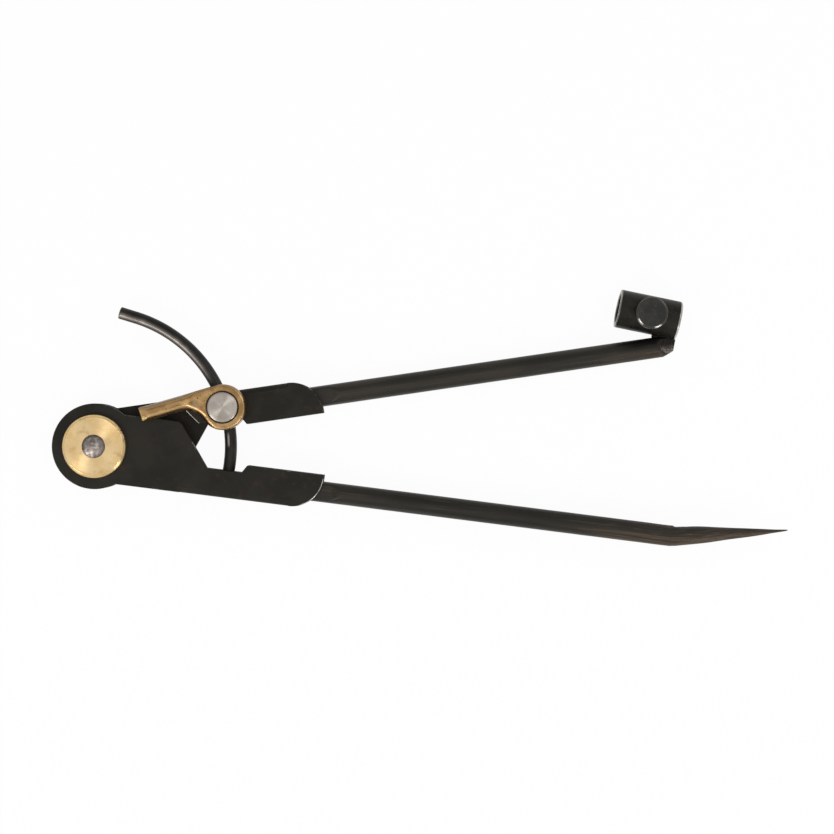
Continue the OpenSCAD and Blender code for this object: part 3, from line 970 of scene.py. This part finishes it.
# %% Turn and drill the sleeve
rim_inner, rim_outer, mouth_rim = 0.3 * mm, 0.4 * mm, 0.6 * mm
screw_hole_r = 2.05 * mm
tube = lathe(rounded([
    (bore_r, -sleeve_half, rim_inner), (sleeve_r, -sleeve_half, rim_outer),
    (sleeve_r, sleeve_half, mouth_rim), (bore_r, sleeve_half, rim_inner)]))
tube = carve(tube, moved(round_bar(screw_hole_r, 0, far, 48), Matrix.Rotation(-math.pi / 2, 4, "Y")))
for face in tube.faces:
    along_sleeve = face.calc_center_median().z
    if along_sleeve > sleeve_half - mouth_rim:
        face.material_index = 2
    elif along_sleeve < rim_outer - sleeve_half:
        face.material_index = 1
make_piece(
    "drilled_sleeve", tube, "pencil_leg", ["pencil_sleeve"],
    [satin_black("satin_black_sleeve", sleeve_place, tint("#1a1a17"), tint("#26241c"), 0.44),
     bare_rim("rubbed_sleeve_rim", sleeve_place, tint("#8f8b84")),
     bare_rim("rubbed_mouth_rim", sleeve_place, tint("#c2beb6"))], sleeve_place)

# %% [markdown]
# ## The weld
# The sleeve is held by a short weld along the seam of the cope. Metaballs could make lumps, but the
# seam of two round bars is known exactly, so the bead is swept along it as a row of rings. It
# ripples with the steps of the welding rod, and at the crotch it moves out and fills the corner.

# %% Run the weld bead
def weld_bead():
    """A rippled bead along the seam of sleeve and bar, thickest in the crotch."""
    mid = in_leg.to_translation()
    clear_of_end = 1.2 * mm
    seam = []
    for degrees in range(-88, 89, 2):
        a = math.radians(degrees)
        v, z = bar_off + bar_r * math.cos(a), bar_r * math.sin(a)
        off = math.sqrt(sleeve_r ** 2 - z * z)
        u = mid.x - (off + math.cos(sleeve_tilt) * (v - mid.y)) / math.sin(sleeve_tilt)
        spot = Vector((u, v, middle + z))
        if (spot - mouth).dot(mouth_out) < -clear_of_end:
            seam.append(spot)
    last = len(seam) - 1
    into_crotch = Vector((-math.cos(sleeve_tilt / 2), math.sin(sleeve_tilt / 2), 0))
    fill = 1.5 * mm
    thin, thick = 0.18 * mm, 0.6 * mm
    ripple, ripple_turn = 0.12, 1.9
    lump, lump_size = 0.2, 0.9 * mm
    rings = []
    for k, spot in enumerate(seam):
        ahead = (seam[min(k + 1, last)] - seam[max(k - 1, 0)]).normalized()
        across = ahead.orthogonal().normalized()
        third = ahead.cross(across)
        near_crotch = 1 - abs(2 * k / last - 1)
        size = (thin + thick * near_crotch ** 2) * (1 + ripple * math.sin(k * ripple_turn))
        size *= 1 + lump * noise.noise(spot / lump_size)
        spot = spot + into_crotch * fill * near_crotch ** 4
        rings.append([spot + size * (across * math.cos(t) + third * math.sin(t)) for t in round_turns(14)])
    return loft(rings)


make_piece(
    "weld_bead", weld_bead(), "pencil_leg", ["sleeve_weld"],
    [satin_black("weld_scale", leg_place["pencil"], tint("#12110f"), tint("#241d19"), 0.6)],
    leg_place["pencil"])

# %% [markdown]
# ## Boss and screw head
# Above the sleeve stand a low boss, coped to the sleeve's crown, and the pencil screw's round
# head. Both come off the lathe. The boss could be sunk into the sleeve with a flat foot, but two
# surfaces would then cut through each other, so it is cut with the sleeve's own round. The black
# has thinned on the head's upper rim, and two light, bare spots on it, where the lamps' glints
# fall, are painted glints.

# %% Turn the boss
boss_r, boss_foot, boss_top = span("pencil_screw_boss")
screw_place = Matrix.Translation((screw_at.x, screw_at.y, 0))
boss_sink = 0.3 * mm
crown = moved(round_bar(sleeve_r + seat_gap, -far, far, 96), screw_place.inverted() @ sleeve_place)
boss = carve(lathe(rounded([
    (screw_hole_r, boss_foot - boss_sink, 0), (boss_r, boss_foot - boss_sink, 0),
    (boss_r, boss_top, 0.25 * mm), (screw_hole_r, boss_top, 0.2 * mm)]), 72), crown)
make_piece(
    "coped_boss", boss, "pencil_leg", ["pencil_screw_boss"],
    [satin_black("satin_black_boss", screw_place, tint("#191918"), tint("#22211e"), 0.44)], screw_place)

# %% Turn the screw's head
head_r, head_foot, head_top = span("pencil_screw_head")
head_rim, foot_rim = 0.55 * mm, 0.3 * mm
head_line = rounded([
    (0, head_foot, 0), (head_r, head_foot, foot_rim), (head_r, head_top, head_rim), (0, head_top, 0)], 6)
head = lathe(head_line, closed=False)
for face in head.faces:
    at = face.calc_center_median()
    on_rim = at.z > head_top - head_rim and Vector((at.x, at.y)).length > head_r - head_rim
    face.material_index = int(on_rim)
# the spots at 217 and 293 degrees are painted glints, where the lamps catch the rim
make_piece(
    "turned_screw_head", head, "screw_head", ["pencil_screw_head"],
    [satin_black("satin_black_head", screw_place, tint("#292928"), tint("#383733"), 0.38),
     bare_rim("head_rim_with_painted_glints", screw_place, tint("#4c4a46"), glint_spots=(217, 293))], screw_place)

# %% [markdown]
# ## The screw's thread
# The thread shows from the side, in the gap under the head. A bump would leave the shank's outline
# straight, so the thread is real: the shank is skinned over thin rings, and the radius of each
# ring follows the helix round.

# %% Cut the screw's thread
thread_pitch, thread_depth = 0.7 * mm, 0.38 * mm


def threaded(radius, low, high, points=48):
    """A shank with a helical thread and a tapered tip."""
    rings_per_turn = 10
    flank_slope, root_flat = 1.25, 0.12
    tip_share, tip_start, tip_run = 0.8, 0.1 * mm, 0.6 * mm
    count = round((high - low) / (thread_pitch / rings_per_turn))
    rings = []
    for k in range(count + 1):
        z = low + (high - low) * k / count
        end = min(1, (z - low + tip_start) / tip_run)
        ring = []
        for i, a in enumerate(round_turns(points)):
            turn = (z / thread_pitch - i / points) % 1
            flank = max(0, min(1, flank_slope * (1 - abs(2 * turn - 1)) - root_flat))
            r = (radius - thread_depth + thread_depth * flank) * (tip_share + (1 - tip_share) * end)
            ring.append(Vector((r * math.cos(a), r * math.sin(a), z)))
        rings.append(ring)
    return loft(rings)


shank_r, shank_foot, shank_top = span("pencil_screw_shank")
make_piece(
    "threaded_shank", threaded(shank_r, shank_foot, shank_top - seat_gap), "screw_shank",
    ["pencil_screw_shank"],
    [satin_black("thread_steel", screw_place, tint("#5d5a56"), tint("#7b7772"), 0.35)], screw_place)

# %% [markdown]
# ## The quadrant rod
# The rod is bent to an arc about the pivot, so its free end swings past the leg as the compass
# opens. Its last stretch is straight, as a bender leaves it. A curve with a round bevel could
# make it too, but rings also give the small chamfers at its ends. Clamping has polished thin
# lines along its inner side, from the free end to near the lever, and a short spot below the
# lever. They lie where the rod shows its highlight, so they are partly a painted highlight. They
# are masks in the finish: how far across the rod, and how far round the pivot.

# %% Rubbed black, partly a painted highlight
arc_r = 38.6 * mm
rod_r = 1.75 * mm
straight_from = math.radians(72.3)


def rubbed_black_with_painted_highlight():
    """Black with the clamp's polished lines, which are partly a painted highlight. Across the rod, -1 is
    its inner side and 1 its outer; round the pivot, turns are in degrees."""
    f = Finish("rod_rub_and_painted_highlight")
    x, y = f.axis("X"), f.axis("Y")
    radius = f.from_axis()
    turn = f.node("ShaderNodeMath", {"operation": "ARCTAN2"}, [y, x]) * math.degrees(1)
    bend = math.degrees(straight_from)
    past_bend = x * math.cos(straight_from) + y * math.sin(straight_from)
    is_straight = f.step(turn, bend - 1, bend + 1)
    across = (radius + is_straight * (past_bend - radius) - arc_r) / rod_r
    scratch = f.lines(across + 0.6 / rod_r * f.axis("Z"), 0.3, 2.0)
    cloud = f.step(f.grain(5 * mm, 4.0), 0.38, 0.65)
    line = f.band(across, (-0.84, -0.6), (-0.54, -0.28))
    haze = f.band(across, (-0.6, -0.4), (-0.2, 0.35))
    worn = f.step(turn, 24, 46)
    spot = f.band(turn, (-1.5, 1), (3, 6)) * f.band(across, (-0.5, -0.35), (-0.2, -0.05))
    patchy = f.step(scratch + 0.25 * cloud, 0.35, 0.8)
    # painted highlight, partly: the polished lines and the spot below the lever turn to light bare steel
    rub = worn * (line * (0.55 + 0.4 * patchy) + haze * (0.08 + 0.24 * patchy)) + 0.7 * spot
    colour = f.blend(cloud, tint("#1d1c1a"), tint("#282622"))
    return f.finish(
        Base_Color=f.blend(rub, colour, tint("#b3a99f")),
        Roughness=0.38 - 0.08 * rub + 0.1 * (scratch - 0.5),
        Metallic=0.4 + 0.55 * rub,
        Specular_IOR_Level=0.3,
        Normal=f.bump(cloud, 0.01 * mm))


# %% Bend the rod
def bent_rod():
    """A round rod from the spike leg's spine along its arc to the straight free end."""
    spine_off = 9.25 * mm
    start = -half_opening - math.asin(spine_off / arc_r)
    end = -half_opening + math.radians(87.2)
    chamfer, chamfer_share = 0.14 * mm / arc_r, 0.92
    steps = 96
    stops = [(start, chamfer_share), (start + chamfer, 1)]
    stops += [(start + (end - start) * k / steps, 1) for k in range(1, steps)]
    stops += [(end - chamfer, 1), (end, chamfer_share)]
    rings = []
    for a, share in stops:
        bend = min(a, straight_from)
        out = Vector((math.cos(bend), math.sin(bend), 0))
        hub = out * arc_r + left_of(out) * arc_r * math.tan(a - bend) + Vector((0, 0, middle))
        rings.append([
            hub + rod_r * share * (out * math.cos(t) + Vector((0, 0, math.sin(t))))
            for t in round_turns(36)])
    return loft(rings)


make_piece("bent_rod", bent_rod(), "spike_leg", ["quadrant_rod"], [rubbed_black_with_painted_highlight()])

# %% [markdown]
# ## The lever's brass
# The lever is cast in brass that has dulled in clouds. Its rounded edges are lighter, partly as
# rubbed polish and partly as painted highlight. Its upper side, which faces away from the lamps, is
# darker as painted shade, and its end is darker too. It is pitted in places and stained near its
# neck. The surface's direction tells edges and sides apart. The stains are round masks in the
# lever's own directions, because noise alone can't put them where wear does; the light one at the
# handle's corner is a painted highlight.

# %% Cast brass
lever_turn = Matrix.Rotation(half_opening + math.radians(187.75), 4, "Z")
lever_place = Matrix.Translation((clamp_at.x, clamp_at.y, 0)) @ lever_turn
# painted shade on the handle's upper side (local -y), which faces away from the lamps; the end (local x)
# is darkened too
darkened_sides = (Vector((0, -1, 0)), Vector((1, 0, 0)))
stains_and_painted_highlight = [
    (7.2, -2.9, 1.6, 0.6, 0.05, "#7b705d"), (8.2, -3.7, 0.9, 0.5, 0.05, "#66552a"),
    (6.2, -1.2, 1.4, 0.35, 0.02, "#8f6243"), (8.2, -1.0, 1.0, 0.6, 0.2, "#86683f"),
    # the last entry is no stain: a light, smoother spot on the handle's lower corner, a painted highlight
    (22.3, -2.9, 1.0, 0.6, -0.08, "#e6c88a")]


def cast_brass():
    """Worn brass, with edges lightened as polish and painted highlight, painted shade on its upper side,
    and a darker end. Its stains and one painted highlight are given by place and reach in millimetres,
    share, change of roughness and colour."""
    f = Finish("dulled_cast_brass", lever_place)
    cloud = f.step(f.grain(3.0 * mm, 4.0), 0.35, 0.68)
    sand = f.grain(0.4 * mm, 3.0)
    pit = f.step(f.grain(0.7 * mm, 1.0, shift=9.0), 0.68, 0.76)
    normal = f.node("ShaderNodeTexCoord", output="Normal")
    lean = 1 - f.node("ShaderNodeSeparateXYZ", None, [normal], "Z")
    # rounded edges are lightened below, partly rubbed polish and partly a painted highlight
    edge = f.band(lean, (0.015, 0.06), (0.2, 0.45))
    colour = f.blend(cloud, tint("#93734a"), tint("#ba9869"))
    colour = f.blend(0.4 * f.step(sand, 0.4, 0.7), colour, tint("#8a6849"))
    colour = f.blend(0.6 * edge, colour, tint("#d4b17c"))
    # darkens the upper side as painted shade, and the handle's end
    for side in darkened_sides:
        facing = f.node(
            "ShaderNodeVectorMath", {"operation": "DOT_PRODUCT"},
            [normal, lever_turn.to_3x3() @ side], "Value")
        colour = f.blend(0.6 * f.step(facing, 0.35, 0.85), colour, tint("#54432f"))
    x, y = f.axis("X"), f.axis("Y")
    roughness = 0.36 + 0.16 * (sand - 0.5) + 0.2 * pit - 0.05 * edge
    # stains, and the painted highlight at the handle's corner
    for at_x, at_y, reach, share, rougher, stained in stains_and_painted_highlight:
        dx, dy = x - at_x * mm, y - at_y * mm
        away = (dx * dx + dy * dy) ** 0.5 + 1.2 * mm * (sand - 0.5)
        stain = 1 - f.step(away, 0.3 * reach * mm, reach * mm)
        colour = f.blend(share * stain, colour, tint(stained))
        roughness = roughness + rougher * stain
    return f.finish(
        Base_Color=f.blend(pit * 0.8, colour, tint("#4a3420")),
        Roughness=roughness,
        Metallic=1.0,
        Normal=f.bump(sand - pit, 0.035 * mm))


# %% [markdown]
# ## The lever's shape
# The lever is a ring with a handle that leaves it at a tangent, and a web in the corner between
# them. One outline is drawn in step by step, and each step rises along an edge with the draft
# that a mould needs: tight on the ring and at the handle's end, wide along the handle, and widest
# where the web runs into it. Sculpting could give the same softness, but not from named sizes.
# The skin is remeshed and smoothed a little, as a worn casting is, and small dips are pressed
# into it. Its bore is cut last, so that its edge stays crisp.

# %% Outline of the lever
ring_r = 6.5 * mm
ring_foot, ring_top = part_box("clamp_lever")[0].z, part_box("clamp_lever")[1].z
handle_l = 23.2 * mm
handle_w = 4.3 * mm
handle_foot = ring_foot + 0.65 * mm
handle_top = handle_foot + 4.2 * mm
neck_r = 6.5 * mm
corner_r = 0.6 * mm


def lever_outline(inset):
    """The lever seen from above, drawn in by some distance, with as many points each time."""
    def arc(hub, r, first, last, steps):
        turns = [math.radians(first + (last - first) * k / steps) for k in range(steps + 1)]
        return [hub + r * Vector((math.cos(t), math.sin(t))) for t in turns]

    edge = ring_r - handle_w
    neck_hub = Vector((math.sqrt((ring_r + neck_r) ** 2 - (neck_r - edge) ** 2), neck_r - edge))
    lean = math.degrees(math.atan2(neck_hub.y, neck_hub.x))
    end, near, outer = handle_l - inset, -edge - inset, -ring_r + inset
    fillet = max(corner_r - inset, 0.02 * mm)
    line = arc(Vector((end - fillet, outer + fillet)), fillet, -90, 0, 4)
    line += arc(Vector((end - fillet, near - fillet)), fillet, 0, 90, 4)
    line += [Vector((end - fillet, near)).lerp(Vector((neck_hub.x, near)), k / 16) for k in range(1, 16)]
    line += arc(neck_hub, neck_r + inset, -90, lean - 180, 20)
    line += arc(Vector((0, 0)), ring_r - inset, lean, 270, 64)[1:]
    return line + [Vector((0, outer)).lerp(Vector((end - fillet, outer)), k / 40) for k in range(1, 40)]


print("points round the lever:", len(lever_outline(0)))

# %% Draft of the lever's edge
edge_fall = [
    (0.0, 2.4), (0.12, 1.9), (0.3, 1.3), (0.5, 0.8), (0.7, 0.42),
    (0.9, 0.24), (1.2, 0.13), (1.6, 0.05), (2.0, 0.0)]
handle_starts, end_starts = (5.5 * mm, 10.5 * mm), (20.4 * mm, 23.1 * mm)
inner_starts, web_starts = (-3.4 * mm, -2.6 * mm), (3.2 * mm, 6.8 * mm)
root_starts, root_ends = (8.6 * mm, 10.2 * mm), (10.5 * mm, 14 * mm)
top_falls, foot_lifts = (5 * mm, 13 * mm), (6.6 * mm, 7.0 * mm)
ring_edge, handle_more, end_less = 0.36, 0.64, 0.6
web_wider, root_wider = 0.2, 0.45


def fall_at(inset):
    """How far the lever's edge has fallen at some distance in from its outline, in millimetres."""
    for (d0, fall0), (d1, fall1) in zip(edge_fall, edge_fall[1:]):
        if inset <= d1:
            return fall0 + (fall1 - fall0) * (inset - d0) / (d1 - d0)
    return 0


# %% Rings over the lever
def lever_rings():
    """Rings from the lever's foot over its drafted edge to its crown."""
    rings = []
    full = lever_outline(0)
    foot_rows = [(0.2, 0), (0.0, 0.2)]
    for inset, rise in foot_rows + [(row[0], None) for row in edge_fall[:-1]]:
        ring = []
        for spot, base in zip(lever_outline(inset * mm), full):
            on_handle = soft_step(base.x, *handle_starts)
            at_end = soft_step(base.x, *end_starts)
            inner = soft_step(base.y, *inner_starts)
            on_web = inner * soft_step(base.x, *web_starts)
            at_root = inner * soft_step(base.x, *root_starts) * (1 - soft_step(base.x, *root_ends))
            size = ring_edge + handle_more * max(on_handle, on_web) - end_less * at_end
            width = size + web_wider * on_web + root_wider * at_root
            top = ring_top + (handle_top - ring_top) * soft_step(base.x, *top_falls)
            foot = ring_foot + (handle_foot - ring_foot) * soft_step(base.length, *foot_lifts)
            z = top - size * fall_at(inset / width) * mm
            if rise is not None:
                z = foot + rise * mm
            ring.append(Vector((spot.x, spot.y, z)))
        rings.append(ring)
    return rings


# %% Cast the lever
nut_seat_r, nut_seat_h = 4.75 * mm, 0.7 * mm
nut_bore_r = 4.65 * mm
lip_r, lip_h = 3.0 * mm, 1.0 * mm
dip_size, dip_depth = 1.6 * mm, 0.05 * mm
dips_above = handle_foot + 1.5 * mm


def cast_lever():
    """The lever's skin, softened and dented, with the nut's seat cut into its ring."""
    mesh = bpy.data.meshes.new("lever_skin")
    skin = loft(lever_rings(), fan_ends=False)
    bmesh.ops.recalc_face_normals(skin, faces=skin.faces)
    bmesh.ops.triangulate(skin, faces=[face for face in skin.faces if len(face.verts) > 4])
    skin.to_mesh(mesh)
    skin.free()
    rough = new_object("lever_skin", mesh)
    one_skin = rough.modifiers.new("one_skin", "REMESH")
    one_skin.mode = "VOXEL"
    one_skin.voxel_size = 0.15 * mm
    soft = rough.modifiers.new("soften", "SMOOTH")
    soft.iterations = 8
    bpy.context.view_layer.update()
    out = bmesh.new()
    out.from_mesh(rough.evaluated_get(bpy.context.evaluated_depsgraph_get()).to_mesh())
    bpy.data.objects.remove(rough)
    for v in out.verts:
        if v.co.z > dips_above:
            v.co.z -= dip_depth * max(0, noise.noise(v.co / dip_size))
        v.co.z = max(ring_foot, min(ring_top, v.co.z))
    return carve(
        out, round_bar(nut_bore_r, ring_foot + lip_h, far, 96),
        round_bar(nut_seat_r, ring_top - nut_seat_h, far, 96), round_bar(lip_r, -far, far, 64))


make_piece(
    "cast_lever", cast_lever(), "clamp_lever", ["clamp_lever"], [cast_brass()], lever_place)

# %% [markdown]
# ## The knurled nut
# A steel nut with a knurled wall is pressed into the lever's ring, so the lever can be set to any
# tooth. Its face shines in a fan, as the washers do. The teeth show as dark dashes in the narrow
# gap round the face: a bump can't cast their small shadows, so they are real. The knurl and the
# wall below the face are also given a dark finish, a painted shade for the deep gap.

# %% Knurl the nut
nut_foot, nut_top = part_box("clamp_nut")[0].z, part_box("clamp_nut")[1].z
teeth, per_tooth = 44, 6
tooth_in, tooth_out = 4.36 * mm, 4.63 * mm
face_r = 4.32 * mm
knurl_top = nut_top - 0.55 * mm
face_from = nut_top - 0.25 * mm
neck_rise, neck_in = 0.02 * mm, 0.05 * mm
rim_curve = [(0.24, 0), (0.11, 0.07), (0.035, 0.2), (0, 0.42)]
nut_place = Matrix.Translation((clamp_at.x, clamp_at.y, 0))


def knurled_nut():
    """Toothed rings up to the knurl's top, then plain rings over a rounded rim to the middle."""
    points = teeth * per_tooth
    saw = [soft_step(abs(2 * ((i / per_tooth) % 1) - 1), 0.25, 0.75) for i in range(points)]
    rows = [(nut_foot, None), (knurl_top, None), (knurl_top + neck_rise, face_r - neck_in)]
    rows += [(nut_top - drop * mm, face_r - inset * mm) for drop, inset in rim_curve]
    rows += [(nut_top, face_r * share) for share in (0.8, 0.55, 0.3, 0.1)]
    rings = []
    for z, plain in rows:
        ring = []
        for i, a in enumerate(round_turns(points)):
            r = plain or tooth_in + (tooth_out - tooth_in) * saw[i]
            ring.append(Vector((r * math.cos(a), r * math.sin(a), z)))
        rings.append(ring)
    bm = loft(rings)
    for face in bm.faces:
        face.material_index = int(face.calc_center_median().z < face_from)
    return bm


nut_face = turned_metal(
    "turned_steel", tint("#c2bab0"), tint("#a69d93"), tint("#8d8379"),
    roughness=0.3, fan=0.97, ring_size=0.14 * mm, place=nut_place)
# the knurl's dark finish is painted shade for the deep gap round the face
make_piece(
    "knurled_nut", knurled_nut(), "clamp_lever", ["clamp_nut"],
    [nut_face, satin_black("dark_knurl_painted_shade", nut_place, tint("#26211c"), tint("#4a433c"), 0.5)], nut_place)

# %% [markdown]
# ## Stud and spacer
# Two pieces lie inside the head: the stud whose eye grips the rod, and the spacer that holds the
# cheeks apart. Little of them shows, but from the side the spacer is the head's own rim. Their
# solids have the right form already, so only their rims are rounded, as on the folded heads.

# %% Ease the inner pieces
def plain_steel(name):
    """Dull steel with upright streaks and stains."""
    f = Finish(name)
    streak = f.grain(0.4 * mm, 3.0, stretch=(1, 1, 0.2))
    stain = f.step(f.grain(3.5 * mm, 5.0), 0.3, 0.75)
    return f.finish(
        Base_Color=f.blend(stain, tint("#6b6762"), tint("#55504a")),
        Roughness=0.4 + 0.2 * stain + 0.1 * (streak - 0.5),
        Metallic=0.9,
        Normal=f.bump(streak, 0.01 * mm))


inner_steel = plain_steel("inner_steel")
inner_rim = 0.15 * mm
for node, body in (("head_spacer", "spike_leg"), ("clamp_stud", "clamp_stud")):
    make_piece(
        f"eased_{node}", round_rims(clean_copy(node), inner_rim), body, [node],
        [inner_steel, inner_steel])

# %% [markdown]
# ## The end

# %% Finish
print("dressing done")
